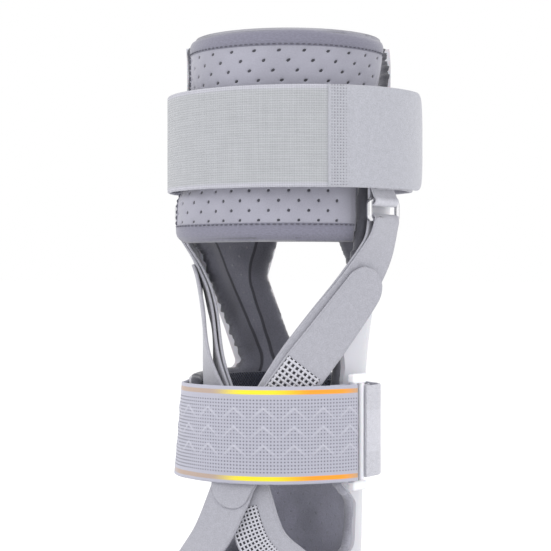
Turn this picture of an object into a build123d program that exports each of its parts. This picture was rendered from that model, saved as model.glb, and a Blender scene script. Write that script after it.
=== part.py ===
from build123d import *
import os
from math import cos, radians, sin

# Ankle foot orthosis for the left leg, in millimetres.
# Origin: on the floor, under the ankle's centre. +Z up, toes towards -Y, outer (lateral) side +X.
# The moulded shell holds the calf, the back of the ankle and the sole. The inner side is left open
# below the calf, so the inner strut runs down and back to the heel, and a window opens the back.

os.makedirs("parts", exist_ok=True)

# ---- driving dimensions ----
SHELL_T = 3.0  # moulded polypropylene
SOLE_T = 3.2
LINER_T = 3.5  # perforated foam inside the shell
PAD_T = 3.0  # mesh pad around the ankle
GAP = 0.15  # running gap between neighbouring layers
TOP_Z = 313.0  # top edge of the shell
WEB_T = 1.8  # webbing thickness
CROSS_W = 25.0  # width of the cross straps
TAB_LIFT = WEB_T + 0.7  # how far a cross strap's end lies above the strap
CALF_BAND = (232.0, 285.0)  # height range of the calf strap
CALF_LOOP = (3.0, 21.0, 70.0, 62.5)  # calf strap's middle line: centre x, y, half width, half depth
SEAM_ANGLE = -57.0  # the calf strap's elastic front ends here and its tab begins
CALF_R = 58.0  # the shell's nominal radius at the calf
WRAP_GAP = 0.9  # between that radius and the strap behind it
RECEIVER_IN = 5.5  # the receiver lies this far inside the calf strap's middle line
SHIN_PAD = (204.0, 316.0)  # height range of the shin pad
SHIN_R = 55.0  # outer radius of the shin pad
SHIN_Y = 20.0  # the calf's centre is behind the ankle's
SHIN_T = (1.2, 5.4, 1.2)  # face, foam and lining
SHIN_ANGLES = (-158.0, 12.0)  # inner and outer edge of the shin pad, degrees from +X towards +Y
BINDING_T = 1.0
BINDING_H = 10.0
HINGE_TAPE_T = 0.8
HINGE_TAPE_Z = (238.0, 278.0)
HINGE_TAPE_LINE = ((-58.6, 0.0), (-59.3, 6.0), (-59.6, 11.5))
ANKLE_BAND = (80.0, 130.0)  # height range of the ankle band
ANKLE_Y = 1.0
BAND_IN = 53.0  # inner radius of the ankle band in front
BAND_END = -152.0  # angle at which its elastic meets the hook tab
BAND_LOOP_T = 1.4
RING_R = 54.0  # radius at which the ankle ring stands
RING_BAR_R = 1.6
RING_END = (11.6, 4.6, 5.0)  # length, thickness and height of the ring's end blocks
RING_SPAN = 53.8  # height between the ring's end bars
BAR_ANGLES = (-22.0, -14.5)  # front and rear bar, degrees from +X towards +Y
D_ANGLES = (-14.0, 172.0)  # outer and inner D-ring, degrees from +X towards +Y
D_TOP_Z = 226.0
D_DROP = 10.0  # from a D-ring's top bar to its lower bar
D_WIRE_R = 1.5
D_STAND = 61.7  # distance of a D-ring's bars from the calf's centre
D_Y = 18.0
LOOP_T = 1.5  # thickness of the webbing looped around a D-ring
LOOP_GAP = 0.06  # clearance of a webbing loop around its bar
RIVET_R = 2.4
RIVET_HEAD_R = 4.6
RIVET_HEAD_T = 1.3
RIVET_DEPTH = SHELL_T - 0.6  # how far a rivet reaches into the shell
TAB_RIVET_DEPTH = SHELL_T - 1.0
TAB_SEAT_R = 56.7  # the shell's radius under a D-ring's tab
KEEPER_GRIP = 3.0  # from the shell's face to the head of a rivet in the ring's keeper
FOOT_GRIP = 4.9  # from the foot's wall to the head of a rivet in both cross straps

# Outer leg form: height, centre y, half width (x), half depth (y).
LEG_FORM = (
    (0.0, 3.0, 32.0, 40.0),
    (9.0, 3.0, 40.0, 47.0),
    (24.0, 3.0, 44.0, 49.5),
    (55.0, 2.0, 46.0, 49.0),
    (100.0, 1.0, 47.5, 49.5),
    (140.0, 4.0, 48.0, 50.0),
    (175.0, 10.0, 51.0, 52.0),
    (215.0, 17.0, 56.5, 56.0),
    (260.0, 20.4, 58.0, 57.4),
    (TOP_Z, 20.4, 57.0, 57.0),
)
WALL_Z = 27.0  # height of the foot walls before trimming
WALL_FLARE = 5.0
FOOT_RIVET_TILT = 10  # degrees by which the foot walls' rivets point downwards

# Trim lines, as (y, z). Everything in front of them is open.
LATERAL_TRIM = (
    (-300, 340), (62, 340), (46, 313), (24, 284), (-1, 254), (-3, 205), (-6, 187), (-17, 152),
    (-15, 138), (-17, 132), (-17, 78), (-2, 66), (-2, 44), (-24, 28), (-74, 22), (-112, SOLE_T),
    (-300, SOLE_T),
)
MEDIAL_TRIM = (
    (-300, 340), (7, 340), (6, 313), (3, 214), (22, 200), (32, 156), (36, 134), (-16, 131),
    (-16, 78), (26, 75), (36, 62), (34, 44), (8, 26), (-74, 20), (-108, SOLE_T), (-300, SOLE_T),
)
# Back window, as (x, z).
BACK_WINDOW = ((-20, 224), (-26, 186), (-12, 152), (-4, 131), (34, 131), (31, 165), (23, 195), (6, 224))
# What is cut off the shin pad behind its outer edge, as (y, z).
PAD_CUT = ((100, 190), (-5, 190), (-5, 252), (32, 313), (32, 330), (100, 330))


# ---- helpers ----
def form_at(z):
    """Centre y, half width and half depth of the shell's outer face at height z."""
    for low, high in zip(LEG_FORM, LEG_FORM[1:]):
        if z <= high[0]:
            t = (z - low[0]) / (high[0] - low[0])
            return tuple(a + t * (b - a) for a, b in zip(low[1:], high[1:]))
    return LEG_FORM[-1][1:]


def on_form(angle, z, lift=0.0):
    """A point lift outside the shell's outer face at this angle and height, and the outward direction."""
    y, rx, ry = form_at(z)
    a = radians(angle)
    out = Vector(cos(a) / rx, sin(a) / ry, 0).normalized()
    return Vector(rx * cos(a), y + ry * sin(a), z) + out * lift, out


def polar(centre, radius, angle, z=0.0):
    """The point at this radius and angle around centre (x, y)."""
    a = radians(angle)
    return Vector(centre[0] + radius * cos(a), centre[1] + radius * sin(a), z)


def leg_solid(inset, floor, lift=0.0):
    """The leg form shrunk by inset, starting at height floor and rising lift above the shell's top."""
    heights = [floor] + [row[0] for row in LEG_FORM[1:-1] if row[0] > floor + 1] + [TOP_Z + lift]
    with BuildPart() as form:
        for z in heights:
            y, rx, ry = form_at(0.0 if z == floor else z)
            with BuildSketch(Plane.XY.offset(z)):
                with Locations((0, y)):
                    Ellipse(rx - inset, ry - inset)
        loft()
    return form.part


def foot_solid(inset, floor, height=WALL_Z):
    """The foot's outer form shrunk by inset, from floor to height, flaring upwards."""
    with BuildPart() as foot:
        for z in (floor, height):
            margin = inset - WALL_FLARE * z / WALL_Z
            with BuildSketch(Plane.XY.offset(z)):
                with BuildLine():
                    Spline(
                        (0, 42 - margin),
                        (30 - margin, 22),
                        (36 - margin, -30),
                        (46 - margin, -95),
                        (42 - margin, -145),
                        (14, -186 + margin),
                        (-22, -198 + margin),
                        (-42 + margin, -165),
                        (-41 + margin, -110),
                        (-30 + margin, -45),
                        (-30 + margin, 15),
                        periodic=True,
                    )
                make_face()
        loft()
    return foot.part


def opening(plane, points, corner, reach):
    """A cutter: the rounded polygon through points on plane, extruded by reach along its normal."""
    with BuildPart() as cutter:
        with BuildSketch(plane):
            with BuildLine():
                FilletPolyline(*points, radius=corner, close=True)
            make_face()
        extrude(amount=reach)
    return cutter.part


def trims():
    """Everything that the trim lines and the back window take away."""
    return (
        opening(Plane.YZ, LATERAL_TRIM, 5.0, 120),
        opening(Plane.YZ, MEDIAL_TRIM, 5.0, -120),
        opening(Plane.XZ, BACK_WINDOW, 6.0, -120),
    )


def arc_wall(centre, outer, inner, start, end, low, high):
    """A wall between two ellipses (half width, half depth) from angle start to end, low to high."""
    with BuildPart() as wall:
        with BuildSketch(Plane.XY.offset(low)):
            with BuildLine():
                a = EllipticalCenterArc(centre, *outer, start_angle=start, arc_size=end - start)
                b = EllipticalCenterArc(centre, *inner, start_angle=start, arc_size=end - start)
                Line(a @ 0, b @ 0)
                Line(a @ 1, b @ 1)
            make_face()
        extrude(amount=high - low)
    return wall.part


def standing_strap(points, thickness, low, high):
    """A strap standing on edge, whose middle line passes through points, from low to high."""
    with BuildPart() as strap:
        with BuildSketch(Plane.XY.offset(low)):
            with BuildLine() as middle:
                Spline(*points)
            trace(middle.line, line_width=thickness)
        extrude(amount=high - low)
    return strap.part


def laid_strap(stations, width, thickness, lift=0.0):
    """A strap through stations (point, outward direction), raised lift along those directions."""
    points = [p + out * lift for p, out in stations]
    with BuildPart() as strap:
        for i, (point, (_, out)) in enumerate(zip(points, stations)):
            along = points[min(i + 1, len(points) - 1)] - points[max(i - 1, 0)]
            across = along.cross(out).normalized()
            with BuildSketch(Plane(origin=point, x_dir=across, z_dir=along)):
                Rectangle(width, thickness)
        loft(ruled=True)
    return strap.part


def rivets(places, grip, depth):
    """Rivets at (point, outward direction): shank from depth inside to grip outside, then the head."""
    with BuildPart() as group:
        for point, out in places:
            with BuildSketch(Plane(origin=point - out * depth, z_dir=out)):
                Circle(RIVET_R)
            extrude(amount=depth + grip)
            with BuildSketch(Plane(origin=point + out * grip, z_dir=out)):
                Circle(RIVET_HEAD_R)
            extrude(amount=RIVET_HEAD_T, taper=35)
    return group.part


def rivet_holes(places):
    """The holes that rivets pass through."""
    with BuildPart() as group:
        for point, out in places:
            with BuildSketch(Plane(origin=point - out * 8, z_dir=out)):
                Circle(RIVET_R + GAP / 3)
            extrude(amount=16)
    return group.part


def bar_loop(plane, length, bar_r, thickness, tail):
    """Webbing looped around a bar along plane's normal, with a flat tail given as a rectangle
    (x centre, y centre, x size, y size) on that plane."""
    inner = bar_r + LOOP_GAP
    with BuildPart() as loop:
        with BuildSketch(plane):
            Circle(inner + thickness)
            with Locations(tail[:2]):
                Rectangle(*tail[2:])
            Circle(inner, mode=Mode.SUBTRACT)
        extrude(amount=length / 2, both=True)
    return loop.part


def wire_ring(plane, width, height, wire_r, corner):
    """A closed rectangular ring of round wire; width and height are between wire centres."""
    with BuildPart() as ring:
        with BuildLine(plane) as path:
            x, y = width / 2, height / 2
            FilletPolyline((-x, -y), (x, -y), (x, y), (-x, y), radius=corner, close=True)
        with BuildSketch(Plane(origin=path.line @ 0, z_dir=path.line % 0)):
            Circle(wire_r)
        sweep(path=path.line)
    return ring.part


# ---- places that several parts share ----
calf_rivet_places = [on_form(angle, sum(CALF_BAND) / 2) for angle in (78, 102)]
keeper_rivet_places = [on_form(22, z) for z in (92, 118)]
tab_rivet_places = [on_form(angle, D_TOP_Z + 13) for angle in D_ANGLES]
foot_tilt = radians(FOOT_RIVET_TILT)
foot_rivet_places = [
    (Vector(x, -61, 13), polar((0, 0), cos(foot_tilt), angle, -sin(foot_tilt)))
    for x, angle in ((-33.6, 169), (42.9, 9.5))
]
shell_rivet_holes = rivet_holes(
    calf_rivet_places + keeper_rivet_places + tab_rivet_places + foot_rivet_places
)

# ---- moulded shell and its lining ----
with BuildPart() as shell:
    add(leg_solid(0, 0))
    add(foot_solid(0, 0))
    add(leg_solid(SHELL_T, SOLE_T, 1.0), mode=Mode.SUBTRACT)
    add(foot_solid(SHELL_T, SOLE_T, WALL_Z + 1), mode=Mode.SUBTRACT)
    for cutter in trims():
        add(cutter, mode=Mode.SUBTRACT)
    add(shell_rivet_holes, mode=Mode.SUBTRACT)
shell.part.label = "shell"
export_step(shell.part, "parts/shell.step")

with BuildPart() as shell_liner:
    add(leg_solid(SHELL_T + GAP, SOLE_T + GAP))
    add(leg_solid(SHELL_T + GAP + LINER_T, SOLE_T + GAP + LINER_T, 1.0), mode=Mode.SUBTRACT)
    for cutter in trims():
        add(cutter, mode=Mode.SUBTRACT)
shell_liner.part.label = "shell_liner"
export_step(shell_liner.part, "parts/shell_liner.step")

with BuildPart() as footbed:
    add(foot_solid(SHELL_T + 0.4, SOLE_T + GAP, SOLE_T + GAP + LINER_T))
    add(leg_solid(SHELL_T - 0.5, 0, 1.0), mode=Mode.SUBTRACT)
footbed.part.label = "footbed"
export_step(footbed.part, "parts/footbed.step")

pad_inset = SHELL_T + LINER_T + 2 * GAP
pad_height = Box(200, 300, ANKLE_BAND[1] - ANKLE_BAND[0] + 2, align=(Align.CENTER, Align.CENTER, Align.MIN))
pad_height = pad_height.moved(Location((0, 0, ANKLE_BAND[0])))
with BuildPart() as ankle_pad:
    add(leg_solid(pad_inset, SOLE_T))
    add(leg_solid(pad_inset + PAD_T, 0, 1.0), mode=Mode.SUBTRACT)
    add(pad_height, mode=Mode.INTERSECT)
    for cutter in trims():
        add(cutter, mode=Mode.SUBTRACT)
ankle_pad.part.label = "ankle_pad"
export_step(ankle_pad.part, "parts/ankle_pad.step")

# ---- calf strap: fixed rear part and receiver, swinging front part, peeling tab ----
loop_x, loop_y, loop_rx, loop_ry = CALF_LOOP
swing_x = loop_x - loop_rx  # the calf strap swings about a vertical axis at its inner side
receiver_rx = loop_rx - RECEIVER_IN
wrap_r = CALF_R + WRAP_GAP + WEB_T / 2
strap_low, strap_high = CALF_BAND
rear_wall = standing_strap(
    [(swing_x, loop_y + 1.5), (swing_x + 3.5, loop_y + 15)]
    + [tuple(polar((0, loop_y), wrap_r, angle))[:2] for angle in (155, 140, 125, 110, 100, 92)],
    WEB_T, strap_low, strap_high,
)
receiver_wall = standing_strap(
    [tuple(polar((0, loop_y), wrap_r, angle))[:2] for angle in (88, 80, 70, 60, 50)]
    + [tuple(polar((loop_x, loop_y), receiver_rx, angle))[:2] for angle in (22, 0, -30)],
    WEB_T, strap_low, strap_high,
)
calf_holes = rivet_holes(calf_rivet_places)

with BuildPart() as calf_strap_rear:
    add(rear_wall)
    add(calf_holes, mode=Mode.SUBTRACT)
calf_strap_rear.part.label = "calf_strap_rear"
export_step(calf_strap_rear.part, "parts/calf_strap_rear.step")

with BuildPart() as calf_strap_receiver:
    add(receiver_wall)
    add(calf_holes, mode=Mode.SUBTRACT)
calf_strap_receiver.part.label = "calf_strap_receiver"
export_step(calf_strap_receiver.part, "parts/calf_strap_receiver.step")

with BuildPart() as calf_strap_rivets:
    shell_y, _, shell_ry = form_at(sum(CALF_BAND) / 2)
    strap_back = loop_y + wrap_r + WEB_T / 2
    add(rivets(calf_rivet_places, strap_back - shell_y - shell_ry + GAP, RIVET_DEPTH))
calf_strap_rivets.part.label = "calf_strap_rivets"
export_step(calf_strap_rivets.part, "parts/calf_strap_rivets.step")

half_web = WEB_T / 2
outer_loop = (loop_rx + half_web, loop_ry + half_web)
inner_loop = (loop_rx - half_web, loop_ry - half_web)
with BuildPart() as calf_strap_front:
    add(arc_wall((loop_x, loop_y), outer_loop, inner_loop, 181, 360 + SEAM_ANGLE, *CALF_BAND))
calf_strap_front.part.label = "calf_strap_front"
export_step(calf_strap_front.part, "parts/calf_strap_front.step")

with BuildPart() as calf_strap_tab:
    add(arc_wall((loop_x, loop_y), outer_loop, inner_loop, SEAM_ANGLE + 1, 18, *CALF_BAND))
calf_strap_tab.part.label = "calf_strap_tab"
export_step(calf_strap_tab.part, "parts/calf_strap_tab.step")

# ---- shin pad: bound, three layers, hinged at its inner edge ----
pad_cutter = opening(Plane.YZ, PAD_CUT, 5.0, 120)
pad_low, pad_high = SHIN_PAD
layer_low, layer_high = pad_low + BINDING_T + GAP, pad_high - BINDING_T - GAP


def pad_layer(outer, thickness):
    """One layer of the shin pad, cut along the pad's outer edge."""
    inner = outer - thickness
    with BuildPart() as layer:
        add(arc_wall((0, SHIN_Y), (outer,) * 2, (inner,) * 2, *SHIN_ANGLES, layer_low, layer_high))
        add(pad_cutter, mode=Mode.SUBTRACT)
    return layer.part


foam_r = SHIN_R - SHIN_T[0] - 0.05
lining_r = foam_r - SHIN_T[1] - 0.05
with BuildPart() as shin_pad_face:
    add(pad_layer(SHIN_R, SHIN_T[0]))
shin_pad_face.part.label = "shin_pad_face"
export_step(shin_pad_face.part, "parts/shin_pad_face.step")

with BuildPart() as shin_pad_foam:
    add(pad_layer(foam_r, SHIN_T[1]))
shin_pad_foam.part.label = "shin_pad_foam"
export_step(shin_pad_foam.part, "parts/shin_pad_foam.step")

with BuildPart() as shin_pad_lining:
    add(pad_layer(lining_r, SHIN_T[2]))
shin_pad_lining.part.label = "shin_pad_lining"
export_step(shin_pad_lining.part, "parts/shin_pad_lining.step")

bound_outer = SHIN_R + GAP + BINDING_T
bound_inner = lining_r - SHIN_T[2] - GAP - BINDING_T
binding_slot = arc_wall(
    (0, SHIN_Y), (SHIN_R + GAP,) * 2, (bound_inner + BINDING_T,) * 2, SHIN_ANGLES[0] - 2, SHIN_ANGLES[1] + 2,
    pad_low + BINDING_T, pad_high - BINDING_T,
)
binding_low = arc_wall(
    (0, SHIN_Y), (bound_outer,) * 2, (bound_inner,) * 2, *SHIN_ANGLES, pad_low, pad_low + BINDING_H
)
binding_high = arc_wall(
    (0, SHIN_Y), (bound_outer,) * 2, (bound_inner,) * 2, *SHIN_ANGLES, pad_high - BINDING_H, pad_high
)
with BuildPart() as shin_pad_binding:
    add(binding_low)
    add(binding_high)
    add(binding_slot, mode=Mode.SUBTRACT)
    add(pad_cutter, mode=Mode.SUBTRACT)
shin_pad_binding.part.label = "shin_pad_binding"
export_step(shin_pad_binding.part, "parts/shin_pad_binding.step")

with BuildPart() as shin_pad_hinge_tape:
    add(standing_strap(HINGE_TAPE_LINE, HINGE_TAPE_T, *HINGE_TAPE_Z))
shin_pad_hinge_tape.part.label = "shin_pad_hinge_tape"
export_step(shin_pad_hinge_tape.part, "parts/shin_pad_hinge_tape.step")

# ---- D-rings, their webbing tabs, and the straps that cross over the ankle ----


def d_plane(angle, z):
    """A plane across a D-ring's bar: x outwards, y up, normal along the bar."""
    out = polar((0, 0), 1.0, angle)
    return Plane(origin=polar((0, D_Y), D_STAND, angle, z), x_dir=out, z_dir=Vector(out.Y, -out.X, 0))


def ring_tab(angle):
    """The webbing that hangs a D-ring on the shell."""
    inner = D_WIRE_R + LOOP_GAP
    middle = -(inner + LOOP_T / 2)
    with BuildPart() as tab:
        add(bar_loop(d_plane(angle, D_TOP_Z), CROSS_W - 1.5, D_WIRE_R, LOOP_T, (middle, 10, LOOP_T, 20)))
        add(rivet_holes(tab_rivet_places), mode=Mode.SUBTRACT)
    return tab.part


def ring_wire(angle):
    """A D-ring: a rounded rectangle of wire hanging from its upper bar."""
    ring_plane = d_plane(angle, D_TOP_Z - D_DROP / 2)
    flat = Plane(origin=ring_plane.origin, x_dir=ring_plane.z_dir, z_dir=ring_plane.x_dir)
    return wire_ring(flat, CROSS_W + 4.2, D_DROP, D_WIRE_R, 2.0)


def strap_bight(angle):
    """The fold of a cross strap around a D-ring's lower bar."""
    inner = D_WIRE_R + LOOP_GAP
    tail = (inner + LOOP_T / 2, -4.5, LOOP_T, 9)
    return bar_loop(d_plane(angle, D_TOP_Z - D_DROP), CROSS_W - 1.5, D_WIRE_R, LOOP_T, tail)


with BuildPart() as ring_tab_lateral:
    add(ring_tab(D_ANGLES[0]))
ring_tab_lateral.part.label = "ring_tab_lateral"
export_step(ring_tab_lateral.part, "parts/ring_tab_lateral.step")

with BuildPart() as ring_tab_medial:
    add(ring_tab(D_ANGLES[1]))
ring_tab_medial.part.label = "ring_tab_medial"
export_step(ring_tab_medial.part, "parts/ring_tab_medial.step")

tab_grip = D_STAND - D_WIRE_R - LOOP_GAP - TAB_SEAT_R
with BuildPart() as ring_tab_rivets:
    add(rivets(tab_rivet_places, tab_grip, TAB_RIVET_DEPTH))
ring_tab_rivets.part.label = "ring_tab_rivets"
export_step(ring_tab_rivets.part, "parts/ring_tab_rivets.step")

with BuildPart() as d_ring_lateral:
    add(ring_wire(D_ANGLES[0]))
d_ring_lateral.part.label = "d_ring_lateral"
export_step(d_ring_lateral.part, "parts/d_ring_lateral.step")

with BuildPart() as d_ring_medial:
    add(ring_wire(D_ANGLES[1]))
d_ring_medial.part.label = "d_ring_medial"
export_step(d_ring_medial.part, "parts/d_ring_medial.step")

with BuildPart() as strap_bight_lateral:
    add(strap_bight(D_ANGLES[0]))
strap_bight_lateral.part.label = "strap_bight_lateral"
export_step(strap_bight_lateral.part, "parts/strap_bight_lateral.step")

with BuildPart() as strap_bight_medial:
    add(strap_bight(D_ANGLES[1]))
strap_bight_medial.part.label = "strap_bight_medial"
export_step(strap_bight_medial.part, "parts/strap_bight_medial.step")


def stations(rows):
    """Strap stations from rows of (x, y, z, outward angle, outward tilt)."""
    places = []
    for x, y, z, angle, tilt in rows:
        a, t = radians(angle), radians(tilt)
        places.append((Vector(x, y, z), Vector(cos(a) * cos(t), sin(a) * cos(t), sin(t))))
    return places


# From the outer D-ring over the ankle to the inner side of the foot, lying on top.
LATERAL_PATH = stations((
    (58.4, -0.4, 200.0, -17, 5),
    (49.9, -10.4, 179.0, -30, 5),
    (37.0, -25.0, 156.0, -45, 8),
    (28.0, -34.0, 141.0, -55, 8),
    (22.4, -38.0, 131.0, -60, 8),
    (16.6, -42.4, 120.0, -68, 6),
    (10.0, -45.9, 108.0, -78, 4),
    (-3.8, -48.2, 83.0, -92, 6),
    (-7.4, -49.2, 73.0, -96, 10),
    (-15.8, -54.5, 52.0, -105, 16),
    (-31.0, -59.0, 33.0, -135, 20),
    (-37.2, -61.0, 20.5, -191, -10),
    (-34.9, -61.0, 8.0, -191, -10),
))
# From the inner D-ring under the other strap to the outer side of the foot.
MEDIAL_PATH = stations((
    (-58.4, 21.5, 199.5, -186, 5),
    (-49.8, 8.5, 181.0, -172, 5),
    (-39.5, -6.5, 163.0, -165, 5),
    (-27.5, -25.0, 137.0, -153, 5),
    (-13.5, -38.6, 106.0, -112, 5),
    (-2.0, -44.0, 83.0, -90, 8),
    (11.5, -50.8, 50.6, -73, 18),
    (33.0, -58.0, 37.0, -45, 20),
    (47.6, -61.0, 26.0, 9.5, -10),
    (44.3, -61.0, 8.0, 9.5, -10),
))
LATERAL_TAB = stations(((53.9, -6.0, 188.0, -24, 5),)) + LATERAL_PATH[1:4]
with BuildPart() as cross_strap_lateral:
    add(laid_strap(LATERAL_PATH, CROSS_W, WEB_T))
    add(rivet_holes(foot_rivet_places), mode=Mode.SUBTRACT)
cross_strap_lateral.part.label = "cross_strap_lateral"
export_step(cross_strap_lateral.part, "parts/cross_strap_lateral.step")

with BuildPart() as cross_strap_medial:
    add(laid_strap(MEDIAL_PATH, CROSS_W, WEB_T))
    add(rivet_holes(foot_rivet_places), mode=Mode.SUBTRACT)
cross_strap_medial.part.label = "cross_strap_medial"
export_step(cross_strap_medial.part, "parts/cross_strap_medial.step")

with BuildPart() as cross_tab_lateral:
    add(laid_strap(LATERAL_TAB, CROSS_W + 3, WEB_T, TAB_LIFT))
cross_tab_lateral.part.label = "cross_tab_lateral"
export_step(cross_tab_lateral.part, "parts/cross_tab_lateral.step")

with BuildPart() as cross_tab_medial:
    add(laid_strap(MEDIAL_PATH[1:4], CROSS_W, WEB_T, TAB_LIFT))
cross_tab_medial.part.label = "cross_tab_medial"
export_step(cross_tab_medial.part, "parts/cross_tab_medial.step")

with BuildPart() as foot_anchor_rivets:
    add(rivets(foot_rivet_places, FOOT_GRIP, RIVET_DEPTH))
foot_anchor_rivets.part.label = "foot_anchor_rivets"
export_step(foot_anchor_rivets.part, "parts/foot_anchor_rivets.step")

# ---- ankle band: ring keeper on the shell, rectangular ring, elastic band, hook tab, landing patch ----
band_low, band_high = ANKLE_BAND
ring_z = (band_low + band_high) / 2
bar_front, bar_rear = [polar((0, ANKLE_Y), RING_R, angle) for angle in BAR_ANGLES]
loop_mid = RING_BAR_R + LOOP_GAP + BAND_LOOP_T / 2


def loop_around(bar, points):
    """Webbing standing on edge around an upright bar, with a tail through points."""
    half = (RING_SPAN - 8) / 2
    tail = standing_strap(points, BAND_LOOP_T, ring_z - half, ring_z + half)
    with BuildPart() as loop:
        with BuildSketch(Plane.XY.offset(ring_z - half)):
            with Locations((bar.X, bar.Y)):
                Circle(RING_BAR_R + LOOP_GAP + BAND_LOOP_T)
        extrude(amount=2 * half)
        add(tail)
        with BuildSketch(Plane.XY.offset(ring_z - half)):
            with Locations((bar.X, bar.Y)):
                Circle(RING_BAR_R + LOOP_GAP)
        extrude(amount=2 * half, mode=Mode.SUBTRACT)
    return loop.part


rear_start = polar((0, ANKLE_Y), RING_R + loop_mid, BAR_ANGLES[1] + 0.5)
keeper_points = [
    (rear_start.X, rear_start.Y),
    tuple(polar((0, ANKLE_Y), 53.0, 3))[:2],
    tuple(polar((0, ANKLE_Y), 50.3, 14))[:2],
    tuple(polar((0, ANKLE_Y), 49.6, 22))[:2],
    tuple(polar((0, ANKLE_Y), 49.8, 30))[:2],
]
keeper_solid = loop_around(bar_rear, keeper_points)
with BuildPart() as ring_keeper:
    add(keeper_solid)
    add(rivet_holes(keeper_rivet_places), mode=Mode.SUBTRACT)
ring_keeper.part.label = "ring_keeper"
export_step(ring_keeper.part, "parts/ring_keeper.step")

with BuildPart() as keeper_rivets:
    add(rivets(keeper_rivet_places, KEEPER_GRIP, RIVET_DEPTH))
keeper_rivets.part.label = "keeper_rivets"
export_step(keeper_rivets.part, "parts/keeper_rivets.step")

ring_mid = (bar_front + bar_rear) / 2
ring_across = (bar_rear - bar_front).normalized()
ring_plane = Plane(origin=(ring_mid.X, ring_mid.Y, ring_z), x_dir=ring_across, z_dir=(0, 0, 1))
end_z = RING_SPAN / 2 + 0.9  # height of an end block's middle above the ring's
with BuildPart() as ankle_ring:
    with Locations(ring_plane):
        with Locations((0, 0, -end_z), (0, 0, end_z)):
            Box(*RING_END)
    fillet(ankle_ring.edges(), 1.2)
    for bar in (bar_front, bar_rear):
        with Locations((bar.X, bar.Y, ring_z)):
            Cylinder(RING_BAR_R, RING_SPAN)
ankle_ring.part.label = "ankle_ring"
export_step(ankle_ring.part, "parts/ankle_ring.step")

front_start = polar((0, ANKLE_Y), RING_R + loop_mid, BAR_ANGLES[0] - 0.5)
band_loop = loop_around(bar_front, [
    (front_start.X, front_start.Y),
    tuple(polar((0, ANKLE_Y), 54.8, -30))[:2],
    tuple(polar((0, ANKLE_Y), 53.6, -37))[:2],
])
band_wall = arc_wall(
    (0, ANKLE_Y), (BAND_IN + WEB_T,) * 2, (BAND_IN,) * 2, BAND_END, -36, band_low, band_high
)
with BuildPart() as ankle_band:
    add(band_loop)
    add(band_wall)
ankle_band.part.label = "ankle_band"
export_step(ankle_band.part, "parts/ankle_band.step")

band_radius = BAND_IN + WEB_T / 2
hook_wall = standing_strap(
    [tuple(polar((0, ANKLE_Y), r, angle))[:2]
     for r, angle in ((band_radius - 0.1, BAND_END - 0.5), (52.0, -166), (51.3, -180), (50.9, -190))],
    WEB_T - 0.4, band_low + 3, band_high - 3,
)
with BuildPart() as ankle_hook_tab:
    add(hook_wall)
ankle_hook_tab.part.label = "ankle_hook_tab"
export_step(ankle_hook_tab.part, "parts/ankle_hook_tab.step")

with BuildPart() as ankle_landing_patch:
    add(leg_solid(-1.4, SOLE_T))
    add(leg_solid(-GAP, 0, 1.0), mode=Mode.SUBTRACT)
    add(
        arc_wall((0, ANKLE_Y), (70, 70), (30, 30), -202, -164, band_low + 2, band_high - 2),
        mode=Mode.INTERSECT,
    )
ankle_landing_patch.part.label = "ankle_landing_patch"
export_step(ankle_landing_patch.part, "parts/ankle_landing_patch.step")
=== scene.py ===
"""Looks of the ankle foot orthosis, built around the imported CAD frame."""
from math import cos, pi, radians, sin, sqrt

import bpy
import numpy as np
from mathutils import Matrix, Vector
from mathutils.bvhtree import BVHTree
from mathutils.kdtree import KDTree


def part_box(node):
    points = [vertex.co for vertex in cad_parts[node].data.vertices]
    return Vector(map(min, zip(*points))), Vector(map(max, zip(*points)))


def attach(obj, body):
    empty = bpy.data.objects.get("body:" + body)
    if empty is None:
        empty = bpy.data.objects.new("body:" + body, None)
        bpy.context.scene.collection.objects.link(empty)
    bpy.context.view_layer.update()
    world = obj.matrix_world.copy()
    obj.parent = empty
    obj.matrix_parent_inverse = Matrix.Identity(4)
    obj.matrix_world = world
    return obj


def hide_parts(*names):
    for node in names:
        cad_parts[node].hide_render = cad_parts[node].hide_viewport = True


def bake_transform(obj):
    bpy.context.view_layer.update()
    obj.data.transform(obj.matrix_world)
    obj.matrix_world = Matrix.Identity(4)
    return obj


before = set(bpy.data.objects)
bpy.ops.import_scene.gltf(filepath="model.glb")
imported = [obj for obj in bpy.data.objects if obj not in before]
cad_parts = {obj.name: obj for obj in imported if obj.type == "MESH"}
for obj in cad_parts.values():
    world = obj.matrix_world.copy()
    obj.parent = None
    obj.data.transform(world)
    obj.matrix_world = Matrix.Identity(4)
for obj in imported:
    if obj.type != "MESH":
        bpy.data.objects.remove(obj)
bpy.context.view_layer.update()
MM = 0.001

# ---------------------------------------------------------------- sizes, in millimetres, from the frame


def node_box(node):
    """Lowest and highest corner of a CAD node, in millimetres."""
    low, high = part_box(node)
    return np.array(low) / MM, np.array(high) / MM


calf_low, calf_high = node_box("calf_strap_front")
pad_low, pad_high = node_box("shin_pad_binding")
band_low, band_high = node_box("ankle_band")
WEB_T = 1.8
CROSS_W = 25.0
CALF_Z = (calf_low[2] + calf_high[2]) / 2
CALF_W = calf_high[2] - calf_low[2]
CALF_CENTRE = np.array([3.0, 21.0])
CALF_RX, CALF_RY = 70.0, 62.5
BACK_R = 59.8
SEAM = -57.0
BAND_Z = (band_low[2] + band_high[2]) / 2
BAND_W = band_high[2] - band_low[2]
BAND_R = 53.9
ANKLE_CENTRE = np.array([0.0, 1.0])
RING_R = 54.0
BAR_FRONT, BAR_REAR = -22.0, -14.5
BAR_R = 1.6
D_CENTRE = np.array([0.0, 18.0])
D_STAND = 61.7
D_ANGLES = {"lateral": -14.0, "medial": 172.0}
D_TOP, D_LOW = 226.0, 216.0
D_WIRE = 1.5
SEAM_IN = 9.5  # the lining's border seam lies this far inside its edge
PAD_CENTRE = np.array([0.0, 20.0])
PAD_R = 55.0
PAD_T = 8.0
PAD_MIDDLE_R = PAD_R - PAD_T / 2


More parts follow.
